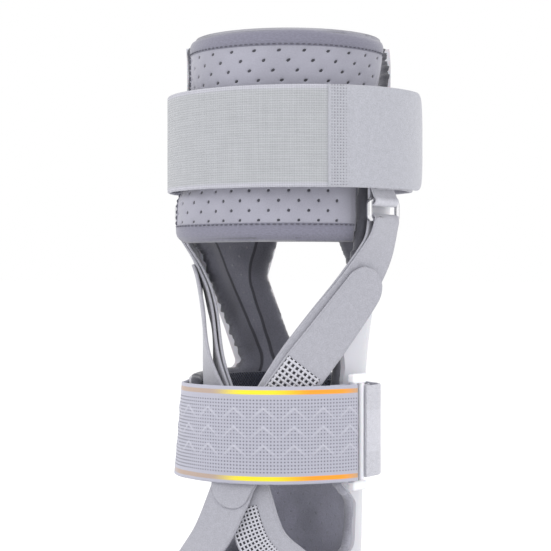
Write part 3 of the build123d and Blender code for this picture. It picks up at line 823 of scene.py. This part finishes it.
def calf_loop(angle, lift=0.0):
    """The calf strap's middle line at this angle, with lift outside it."""
    a = radians(angle)
    return np.array(
        [CALF_CENTRE[0] + (CALF_RX + lift) * cos(a), CALF_CENTRE[1] + (CALF_RY + lift) * sin(a), CALF_Z]
    )


back = [polar((0, CALF_CENTRE[1]), BACK_R, angle, CALF_Z) for angle in (92, 105, 120, 135, 150)]
side_bend = [np.array([-63.0, 37.5, CALF_Z])]
front = [calf_loop(angle) for angle in range(181, int(360 + SEAM) + 1, 10)] + [calf_loop(SEAM)]
elastic = ribbon(
    "calf_elastic", radial(back + side_bend + front, CALF_CENTRE), CALF_W, WEB_T, M["elastic"], 1.5, 1.5
)
bend(
    elastic, "calf_strap", (0, 0.030, 0), (0, 0.012, 0),
    "elastic_grey", "calf_strap_rear", "calf_strap_front",
)

tab_path = [calf_loop(angle, 0.7) for angle in np.linspace(SEAM - 1, 12, 9)]
place(
    ribbon("calf_hook_tab", radial(tab_path, CALF_CENTRE), CALF_W, WEB_T, M["tab"], 1.0, 1.2, tip=16.0),
    "calf_tab", "hook_grey", "calf_strap_tab",
)
receiver_path = [polar((0, CALF_CENTRE[1]), BACK_R, angle, CALF_Z) for angle in (88, 75, 60, 48)]
receiver_path += [
    polar((0, 0), 1, angle, 0) * [CALF_RX - 5.5, CALF_RY - 5.5, 0] + [*CALF_CENTRE, CALF_Z]
    for angle in (22, 10, -5, -18, -30)
]
place(
    ribbon("calf_receiver", radial(receiver_path, CALF_CENTRE), CALF_W, WEB_T, M["webbing"], 2, 2),
    "root", "hook_grey", "calf_strap_receiver",
)

# ---------------------------------------------------------------- shin pad

PAD_START = -158.0
MM_PER_DEG = PAD_R * pi / 180
PAD_CORNER = 9.0
PAD_EDGE_Y = -5.0  # the pad's outer edge as far up as the slope
SLOPE_Z, SLOPE_HEIGHT, SLOPE_DEPTH = 252.0, 61.0, 36.5  # where it starts to slope back, and how far
FLARE = 7.0
FLARE_ANGLE, FLARE_TURN = -112.0, 40.0  # the flare grows over this turn beyond this angle
FLARE_Z, FLARE_RISE = 242.0, 16.0  # and over this height below this one


def pad_edge_angle(z):
    """Angle of the pad's outer (lateral) edge at height z; it slopes back above the strap."""
    y = PAD_EDGE_Y + np.clip((z - SLOPE_Z) / SLOPE_HEIGHT, 0, 1) * SLOPE_DEPTH
    return np.degrees(np.arcsin(np.clip((y - PAD_CENTRE[1]) / PAD_R, -1, 1)))


def pad_flare(angle, z):
    """How far the pad's lower inner corner stands out, at this angle in radians and height."""
    side = np.clip((FLARE_ANGLE - np.degrees(angle)) / FLARE_TURN, 0, 1)
    low = np.clip((FLARE_Z - z) / FLARE_RISE, 0, 1)
    return FLARE * side * side * (3 - 2 * side) * low * low * (3 - 2 * low)


def pad_length(z):
    """Length of the pad around the shin at height z, in millimetres."""
    return (pad_edge_angle(z) - PAD_START) * MM_PER_DEG


def pad_point(x, z, radius):
    """A point of the pad from x (0 at the inner edge, 1 at the outer), height and radius."""
    end = pad_edge_angle(z)
    angle = np.radians(PAD_START + (end - PAD_START) * x)
    radius = radius + pad_flare(angle, z)
    x_mm, y_mm = PAD_CENTRE[0] + radius * np.cos(angle), PAD_CENTRE[1] + radius * np.sin(angle)
    return np.stack([x_mm, y_mm, z + 0 * angle], -1)


def pad_outline_distance(x, z):
    """Distance in millimetres to the pad's rounded-rectangle outline."""
    dx = np.minimum(x, 1 - x) * pad_length(z)
    dz = np.minimum(z - pad_low[2], pad_high[2] - z)
    in_corner = (dx < PAD_CORNER) & (dz < PAD_CORNER)
    rounded = PAD_CORNER - np.hypot(PAD_CORNER - dx, PAD_CORNER - dz)
    return np.where(in_corner, rounded, np.minimum(dx, dz))


def pad_core():
    """The pad's padded body: a closed curved slab with rounded edges, then inflated by cloth simulation."""
    edge_half, rounding = 1.2, 8.0  # half thickness at the edge, and how far in it grows
    x = np.linspace(0, 1, 40)
    z = np.linspace(pad_low[2] + edge_half, pad_high[2] - edge_half, 30)
    gx, gz = np.meshgrid(x, z)
    near = np.clip(pad_outline_distance(gx, gz), 0, rounding) / rounding
    half = edge_half + (PAD_T / 2 - 1.9) * np.sqrt(1 - (1 - near) ** 2)
    outer = pad_point(gx, gz, PAD_MIDDLE_R + half)
    inner = pad_point(gx, gz, PAD_MIDDLE_R - half)
    piece = grid_sheet("shin_pad_body", outer, inner, M["foam"], run=gx * 150, across=gz, rim=0 * gx)
    inflate(piece, pressure=4.0, frames=20, cap=0.8)
    modifier = piece.modifiers.new("subdivide", "SUBSURF")
    modifier.levels = modifier.render_levels = 1
    apply_modifiers(piece)
    return piece


def inflate(piece, pressure, frames, cap):
    """Swells a closed piece by cloth simulation, no point moving more than cap millimetres."""
    rest = read_vertices(piece.data, "co")
    cloth = piece.modifiers.new("cloth", "CLOTH")
    settings = cloth.settings
    settings.use_pressure = True
    settings.uniform_pressure_force = pressure
    settings.effector_weights.gravity = 0
    settings.mass = 0.2
    settings.tension_stiffness = 25
    settings.compression_stiffness = 25
    settings.bending_stiffness = 0.6
    cloth.point_cache.frame_end = frames
    scene = bpy.context.scene
    for number in range(1, frames + 1):
        scene.frame_set(number)
    graph = bpy.context.evaluated_depsgraph_get()
    moved = read_vertices(piece.evaluated_get(graph).data, "co")
    piece.modifiers.clear()
    scene.frame_set(1)
    step = moved - rest
    length = np.linalg.norm(step, axis=1, keepdims=True)
    step *= np.minimum(1, cap * MM / np.maximum(length, 1e-9))
    write_points(piece.data, rest + step)


core = pad_core()
place(core, "shin_pad", "foam_grey", "shin_pad_foam", "shin_pad_lining")
core_tree = BVHTree.FromObject(core, bpy.context.evaluated_depsgraph_get())


def on_core(x, z, lift, outside=True):
    """Points lift millimetres off the simulated pad, outside or inside, at pad coordinates x, z."""
    flat_x, flat_z = np.ravel(x), np.ravel(z)
    ends = pad_point(flat_x, flat_z, PAD_R + 20.0 if outside else PAD_R - 30.0)
    middle = pad_point(flat_x, flat_z, PAD_MIDDLE_R)
    result = np.empty_like(ends)
    for i, (far, mid) in enumerate(zip(ends, middle)):
        direction = Vector((mid - far).tolist()).normalized()
        hit = core_tree.ray_cast(Vector((far * MM).tolist()), direction, 0.030)
        point = np.array(hit[0]) / MM if hit[0] is not None else mid
        result[i] = point - np.array(direction) * lift
    return result.reshape(*np.shape(x), 3)


HOLE_U, HOLE_V, HOLE_R = 11.0, 5.2, 0.62
HOLE_Z = 210.0  # height of the hole rows' middle one


def pad_face():
    """Perforated face fabric lying on the pad inside the binding, with real dimples."""
    step = 0.55
    length = pad_length(260.0)
    columns = int(length / step)
    rows = int((pad_high[2] - pad_low[2] - 12) / step)
    heights = np.linspace(pad_low[2] + 6, pad_high[2] - 6, rows)
    gx, gz = np.meshgrid(np.linspace(0.035, 0.995, columns), heights)
    coarse_x, coarse_z = gx[::6, ::6], gz[::6, ::6]
    base = on_core(coarse_x, coarse_z, 0.5)
    base_x, base_y = base[..., 0] - PAD_CENTRE[0], base[..., 1] - PAD_CENTRE[1]
    radius = np.hypot(base_x, base_y) - pad_flare(np.arctan2(base_y, base_x), coarse_z)
    across_fine = np.array([np.interp(gx[0], coarse_x[0], row) for row in radius])
    radius = np.array([np.interp(gz[:, 0], coarse_z[:, 0], column) for column in across_fine.T]).T
    run = gx * length
    row = np.round((gz - HOLE_Z) / HOLE_V)
    du = (run + (row % 2) * HOLE_U / 2 + HOLE_U / 2) % HOLE_U - HOLE_U / 2
    hole = np.hypot(du, gz - HOLE_Z - row * HOLE_V)
    clear = pad_outline_distance(gx, gz) > 11.0
    depth = np.clip((HOLE_R + 0.35 - hole) / 0.5, 0, 1) * clear
    pucker = np.exp(-((hole / 2.2) ** 2)) * clear * 0.18
    outer = pad_point(gx, gz, radius - depth * 1.0 - pucker)
    inner = pad_point(gx, gz, radius - 1.3)
    dark = np.clip((HOLE_R + 0.1 - hole) / 0.35, 0, 1) * clear
    return grid_sheet("shin_pad_knit", outer, inner, M["pad"], run=run, across=gz, hole=dark)


place(pad_face(), "shin_pad", "pad_grey", "shin_pad_face")


def binding_strip(name, outline, width, inside_width):
    """Binding tape folded over the pad's edge along outline (rows of x, z, inward x, inward z)."""
    count = len(outline)
    offsets = np.concatenate([np.linspace(width, 0.6, 9), [0.0], -np.linspace(0.6, inside_width, 6)])
    gx = outline[:, None, 0] + outline[:, None, 2] * np.abs(offsets)[None, :]
    gz = outline[:, None, 1] + outline[:, None, 3] * np.abs(offsets)[None, :]
    outer = np.empty((count, len(offsets), 3))
    for j, offset in enumerate(offsets):
        swell = 0.55 + 0.5 * sin(pi * min(1, abs(offset) / width))
        if offset > 0:
            outer[:, j] = on_core(gx[:, j], gz[:, j], swell)
        elif offset < 0:
            outer[:, j] = on_core(gx[:, j], gz[:, j], swell, outside=False)
        else:
            roll = 0.9 + 2.2 * np.clip(outline[:, 2] * 150, 0, 1)
            edge_x = outline[:, 0] - outline[:, 2] * roll
            edge_z = outline[:, 1] - outline[:, 3] * 0.9
            outer[:, j] = pad_point(edge_x, edge_z, PAD_MIDDLE_R)
    middle = pad_point(gx, gz, PAD_MIDDLE_R)
    inner = outer + unit(middle - outer) * 0.7
    run = np.repeat(np.arange(count)[:, None] * 1.5, len(offsets), 1)
    across = np.repeat(offsets[None, :], count, 0)
    return grid_sheet(name, outer, inner, M["binding"], run=run, across=across)


def pad_outline(parts):
    """The pad's outline along both rims and the inner edge: rows of x, z and one millimetre's inward x, z."""
    low, high = pad_low[2] + 1.0, pad_high[2] - 1.0
    rows = []
    for z_rim, sign in parts:
        length = pad_length(z_rim)
        for x_mm in np.arange(length * 0.995, PAD_CORNER, -1.5):
            rows.append((x_mm / length, z_rim, 0.0, sign))
        for a in np.linspace(0, 90, 8):
            s, c = sin(radians(a)), cos(radians(a))
            rows.append((
                PAD_CORNER * (1 - s) / length, z_rim + sign * PAD_CORNER * (1 - c), s / length, sign * c,
            ))
    half = (low + high) / 2
    length = pad_length(half)
    first = [r for r in rows if r[1] > half]
    second = [r for r in rows if r[1] <= half]
    side = [(0.0, z, 1.0 / length, 0.0) for z in np.arange(high - PAD_CORNER - 1.5, low + PAD_CORNER, -1.5)]
    return np.array(first + side + second[::-1])


outline = pad_outline(((pad_high[2] - 1.0, -1.0), (pad_low[2] + 1.0, 1.0)))
place(binding_strip("shin_pad_tape", outline, 9.0, 7.0), "shin_pad", "binding_grey", "shin_pad_binding")
SEAM_INSET = 8.2
seam_x = outline[:, 0] + outline[:, 2] * SEAM_INSET
seam_z = outline[:, 1] + outline[:, 3] * SEAM_INSET
seam_points = on_core(seam_x, seam_z, 1.05)
seam_out = radial(seam_points, PAD_CENTRE)[:, 3:]
place(
    stitches("shin_pad_stitches", seam_points, seam_out, 2.1, 1.0, 0.36, M["thread"]),
    "shin_pad", "binding_grey",
)

tape_low, tape_high = node_box("shin_pad_hinge_tape")
tape_mid = (tape_low[2] + tape_high[2]) / 2
tape_points = [(-58.6, 0.0, tape_mid), (-59.3, 6.0, tape_mid), (-59.6, 11.5, tape_mid)]
tape_w = tape_high[2] - tape_low[2]
place(
    ribbon("pad_hinge_tape", radial(tape_points, PAD_CENTRE), tape_w, 0.8, M["webbing"], 1, 1, tip=2, base=2),
    "root", "webbing_grey", "shin_pad_hinge_tape",
)

# ---------------------------------------------------------------- D-rings' webbing and the crossing straps


def stations(rows):
    """Strap stations from rows of (x, y, z, outward angle, outward tilt)."""
    result = []
    for x, y, z, angle, tilt in rows:
        a, t = radians(angle), radians(tilt)
        result.append([x, y, z, cos(a) * cos(t), sin(a) * cos(t), sin(t)])
    return np.array(result)


LATERAL_PATH = stations((
    (58.4, -0.4, 200.0, -17, 5),
    (49.9, -10.4, 179.0, -30, 5),
    (37.0, -25.0, 156.0, -45, 8),
    (28.0, -34.0, 141.0, -55, 8),
    (22.4, -38.0, 131.0, -60, 8),
    (16.6, -42.4, 120.0, -68, 6),
    (10.0, -45.9, 108.0, -78, 4),
    (-3.8, -48.2, 83.0, -92, 6),
    (-7.4, -49.2, 73.0, -96, 10),
    (-15.8, -54.5, 52.0, -105, 16),
    (-31.0, -59.0, 33.0, -135, 20),
    (-37.2, -61.0, 20.5, -191, -10),
    (-34.9, -61.0, 8.0, -191, -10),
))
MEDIAL_PATH = stations((
    (-58.4, 21.5, 199.5, -186, 5),
    (-49.8, 8.5, 181.0, -172, 5),
    (-39.5, -6.5, 163.0, -165, 5),
    (-27.5, -25.0, 137.0, -153, 5),
    (-13.5, -38.6, 106.0, -112, 5),
    (-2.0, -44.0, 83.0, -90, 8),
    (11.5, -50.8, 50.6, -73, 18),
    (33.0, -58.0, 37.0, -45, 20),
    (47.6, -61.0, 26.0, 9.5, -10),
    (44.3, -61.0, 8.0, 9.5, -10),
))


def lifted(rows, lift):
    """The same stations moved out by lift."""
    moved = rows.copy()
    moved[:, :3] += moved[:, 3:6] * lift
    return moved


def inside_out(rows):
    """The same stations facing the other way."""
    turned = rows.copy()
    turned[:, 3:6] *= -1
    return turned


def around_bar(angle, height, radius, start, end, count=9):
    """Stations going round a D-ring's bar, from start to end degrees (0 is outwards, 90 is up)."""
    out = polar((0, 0), 1.0, angle, 0.0)
    centre = np.array([*D_CENTRE, height]) + out * D_STAND
    rows = []
    for a in np.radians(np.linspace(start, end, count)):
        away = out * cos(a) + np.array([0, 0, 1.0]) * sin(a)
        rows.append([*(centre + away * radius), *away])
    return rows


LOOP_R = D_WIRE + 0.06 + 0.75  # middle of the webbing around a D-ring's bar
FOLD_GAP = 2.4  # between the two layers of a strap that is folded around its D-ring
TAB_LIFT = 2.5  # how far a crossing strap's tab lies above the strap


def shifted(rows, amounts):
    """The stations moved sideways across the strap, each by its own amount."""
    moved = rows.copy()
    along = unit(np.gradient(rows[:, :3], axis=0))
    moved[:, :3] += unit(np.cross(along, rows[:, 3:6])) * np.asarray(amounts, float)[:, None]
    return moved


def folded_top(side, path, tab_rows):
    """The folded top of a crossing strap, from behind the D-ring around its lower bar and down the path."""
    bight = around_bar(D_ANGLES[side], D_LOW, LOOP_R, 180, 0)
    down = path[: tab_rows + 1]
    behind = inside_out(lifted(down, -FOLD_GAP)[::-1])
    rows = np.vstack([behind, bight, down])
    fold = ribbon(f"cross_strap_{side}_fold", rows, CROSS_W - 1.0, 1.5, M["webbing"], 1.5, 1.6)
    bend(
        fold, f"d_ring_{side}", (0, 0, 0.192), (0, 0, 0.207),
        "webbing_grey", f"cross_strap_{side}", f"strap_bight_{side}",
    )


folded_top("lateral", shifted(LATERAL_PATH, [0, 1.2] + [1.8] * 5 + [0] * 6), 5)
sunk = lifted(MEDIAL_PATH, np.array([-0.5, -4.0, -5.0, -3.0] + [0] * 6)[:, None])
folded_top("medial", sunk, 4)


def lower_path(path, tip_row, tab_count):
    """Stations of a lower strap: its tip, then the path, raised where it lies on the folded strap."""
    lift = np.concatenate([np.full(tab_count, TAB_LIFT), [1.9, 0.8], np.zeros(len(path) - tab_count - 2)])
    return np.vstack([lifted(tip_row, TAB_LIFT), lifted(path, lift[:, None])])


def lower_strap(side, rows, width, start, end):
    """The strap from the foot up over the ankle, its rounded end lying as a tab; start and end are not used.
    """
    piece = ribbon(f"cross_strap_{side}_lower", rows, width, WEB_T, M["webbing"], 1.5, 1.4, base=11.0)
    bend(piece, f"cross_tab_{side}", start, end, "webbing_grey", f"cross_tab_{side}")


lateral_tip = stations(((54.6, -5.4, 189.5, -24, 5),))
lateral_rows = lower_path(LATERAL_PATH[1:], lateral_tip, 3)
lateral_rows = shifted(lateral_rows, [-0.8, -1.2, -1.5, -1.5, -1.2, -0.6] + [0] * (len(lateral_rows) - 6))
lower_strap("lateral", lateral_rows, CROSS_W - 1.0, (0.0245, -0.037, 0.136), (0.031, -0.031, 0.146))
medial_tip = stations(((-54.0, 14.9, 190.0, -179, 5),))
medial_rows = lower_path(MEDIAL_PATH[1:], medial_tip, 3)
medial_rows = lifted(medial_rows, np.array([-3.5, -3.5, -2.5, -0.5] + [0] * 6)[:, None])
lower_strap("medial", medial_rows, CROSS_W, (-0.0250, -0.0280, 0.132), (-0.0320, -0.0170, 0.146))

for side, rows, top, end, across, pitch in (
    ("lateral", lateral_rows, 139.0, 118.0, (-9.5, 11.0), 2.6),
    ("medial", medial_rows, 68.0, 41.0, (-3.5, 12.0), 2.0),
):
    runs = (run_at_height(rows, top), run_at_height(rows, end))
    grid = open_grid(f"{side}_open_grid", rows, runs, across, pitch, WEB_T / 2, M["grid"])
    place(grid, "root", "hook_grey")
end_lift = WEB_T / 2 + 0.45
under_band = np.vstack([lifted(LATERAL_PATH[6:9], end_lift), stations(((-9.9, -51.9, 68.0, -98, 11),))])
place(
    ribbon("lateral_strap_end", under_band, CROSS_W - 2.0, 0.9, M["webbing"], 1.0, 1.2, tip=11.0),
    "root", "webbing_grey",
)


def ring_tab(side):
    """The webbing that hangs a D-ring: up the shell from a loop around the ring's upper bar."""
    angle = D_ANGLES[side]
    out = polar((0, 0), 1.0, angle, 0.0)
    centre = np.array([*D_CENTRE, 0.0]) + out * (D_STAND - LOOP_R)
    tail = [[*(centre + [0, 0, z]), *-out] for z in (245.5, 240.0, 233.0)]
    loop = around_bar(angle, D_TOP, LOOP_R, 180, 420, 15)
    end = [[*(centre + out * 1.7 + [0, 0, z]), *out] for z in (233.0, 237.0, 241.0)]
    piece = ribbon(
        f"ring_webbing_{side}", np.vstack([tail, loop, end]), CROSS_W - 1.5, 1.4, M["ring_webbing"], 1.0, 1.6
    )
    place(piece, "root", "webbing_grey", f"ring_tab_{side}")


ring_tab("lateral")
ring_tab("medial")

# ---------------------------------------------------------------- ankle band and its keeper


def upright_loop(bar, radius, start, end, count, z):
    """Stations going round an upright bar, from start to end degrees."""
    rows = []
    for a in np.radians(np.linspace(start, end, count)):
        away = np.array([cos(a), sin(a), 0.0])
        rows.append([bar[0] + radius * away[0], bar[1] + radius * away[1], z, *away])
    return rows


ZIG_PITCH = 15.5
ZIG_HEIGHT = 6.5


def zigzag(run, across):
    """Three rows of raised zigzag lines along the band: their height, and 1 on a line, 0 beside it."""
    ridge = np.zeros_like(run)
    for row in (-9.5, 0.0, 9.5):
        phase = ((run - 20.0) / ZIG_PITCH) % 1.0
        line = row + 1.0 + ZIG_HEIGHT * (0.5 - np.abs(phase - 0.5)) * 2 - ZIG_HEIGHT / 2
        slope = 2 * ZIG_HEIGHT / ZIG_PITCH
        distance = np.abs(across - line) / sqrt(1 + slope**2)
        peak = np.clip(1.4 - np.abs(phase - 0.5) * 2.6, 0.0, 1)
        ridge = np.maximum(ridge, np.clip(1.25 - distance / 0.6, 0, 1) * peak)
    window = (run > 16) & (run < 150)
    return ridge * 0.45 * window, ridge * window


def around_ankle(radii, angles):
    """Stations around the ankle at these radii and angles, facing outwards."""
    return radial([polar(ANKLE_CENTRE, r, angle, BAND_Z) for r, angle in zip(radii, angles)], ANKLE_CENTRE)


loop_r = BAR_R + 0.18 + 0.75  # middle of the webbing around the ring's bars
tuck_radii = [RING_R - loop_r] * 3
front_bar = polar(ANKLE_CENTRE, RING_R, BAR_FRONT, BAND_Z)
tuck = inside_out(around_ankle(tuck_radii, (-37, -31, -25)))
loop = upright_loop(front_bar, loop_r, BAR_FRONT + 180, BAR_FRONT + 360, 9, BAND_Z)
arc_angles = [-27, -32, -38, -46, *range(-56, -150, -10), -153, -166, -180, -190]
arc_radii = [56.0, 55.5, 54.6] + [BAND_R] * (len(arc_angles) - 7) + [53.5, 52.2, 51.5, 51.2]
arc = around_ankle(arc_radii, arc_angles)
arc[-6:, 5] = np.tan(np.radians([2.0, 4.0, 6.0, 6.0, 4.0, 2.0]))
arc[-5:-1, :2] -= arc[-5:-1, 3:5] * np.array([[0.8], [1.6], [1.6], [0.8]])
band = ribbon(
    "ankle_elastic", np.vstack([tuck, loop, arc]), BAND_W, 1.5, M["band"], 0.55, 0.55,
    tip=6.0, relief=zigzag,
)
place(band, "ankle_band", "band_grey", "ankle_band", "ankle_hook_tab")

rear_bar = polar(ANKLE_CENTRE, RING_R, BAR_REAR, BAND_Z)
keeper_loop = upright_loop(rear_bar, loop_r, BAR_REAR + 180, BAR_REAR, 9, BAND_Z)
keeper_tuck = inside_out(around_ankle(tuck_radii, (4, -2, -9)))
keeper_tail = around_ankle((57.2, 57.8, 55.6, 51.8, 49.9, 50.0), (-7, 1, 9, 16, 22, 30))
keeper = ribbon(
    "ring_keeper_webbing", np.vstack([keeper_tuck, keeper_loop, keeper_tail]),
    48.0, 1.5, M["ring_webbing"], 0.8, 1.2, tip=5.0,
)
place(keeper, "root", "band_grey", "ring_keeper")

# ---------------------------------------------------------------- studio and camera


def studio():
    """Pale floor, soft world light and three large area lights."""
    scene = bpy.context.scene
    world = bpy.data.worlds.new("studio_world")
    scene.world = world
    world.use_nodes = True
    background = world.node_tree.nodes["Background"]
    background.inputs["Color"].default_value = (1.0, 1.0, 1.0, 1.0)
    background.inputs["Strength"].default_value = 1.0
    scene.view_settings.view_transform = "Standard"
    s = Shader("studio_floor")
    grain = s.span(s.noise(s.position(), 0.004), 0.3, 0.7, 0.985, 1.0)
    s.set(Base_Color=s.shade((0.97, 0.97, 0.97), grain), Roughness=0.9, Specular_IOR_Level=0.0)
    s.set(Emission_Color=(1.0, 1.0, 1.0), Emission_Strength=0.06)
    bpy.ops.mesh.primitive_plane_add(size=80.0, location=(0, 0, -0.0005))
    floor = bpy.context.object
    floor.name = "floor"
    floor.data.materials.append(s.material)
    for name, place_at, size, energy in (
        ("key", (-0.9, -1.3, 1.3), 1.0, 8.0),
        ("fill", (1.3, -0.8, 0.7), 1.2, 3.0),
        ("back", (0.3, 1.4, 1.2), 1.2, 5.0),
    ):
        light = bpy.data.lights.new(name, "AREA")
        light.size = size
        light.energy = energy
        lamp = bpy.data.objects.new(name, light)
        lamp.location = place_at
        lamp.rotation_euler = (Vector((0, 0, 0.16)) - Vector(place_at)).to_track_quat("-Z", "Y").to_euler()
        scene.collection.objects.link(lamp)


def camera():
    """Level camera at the photograph's viewing angle, a little to the outer side of straight ahead."""
    turn, distance, height = radians(20.0), 0.850, 0.1865
    data = bpy.data.cameras.new("camera")
    data.lens = 102.4
    eye = bpy.data.objects.new("camera", data)
    eye.location = (sin(turn) * distance, -cos(turn) * distance, height)
    eye.rotation_euler = (pi / 2, 0, turn)
    bpy.context.scene.collection.objects.link(eye)
    bpy.context.scene.camera = eye


studio()
camera()
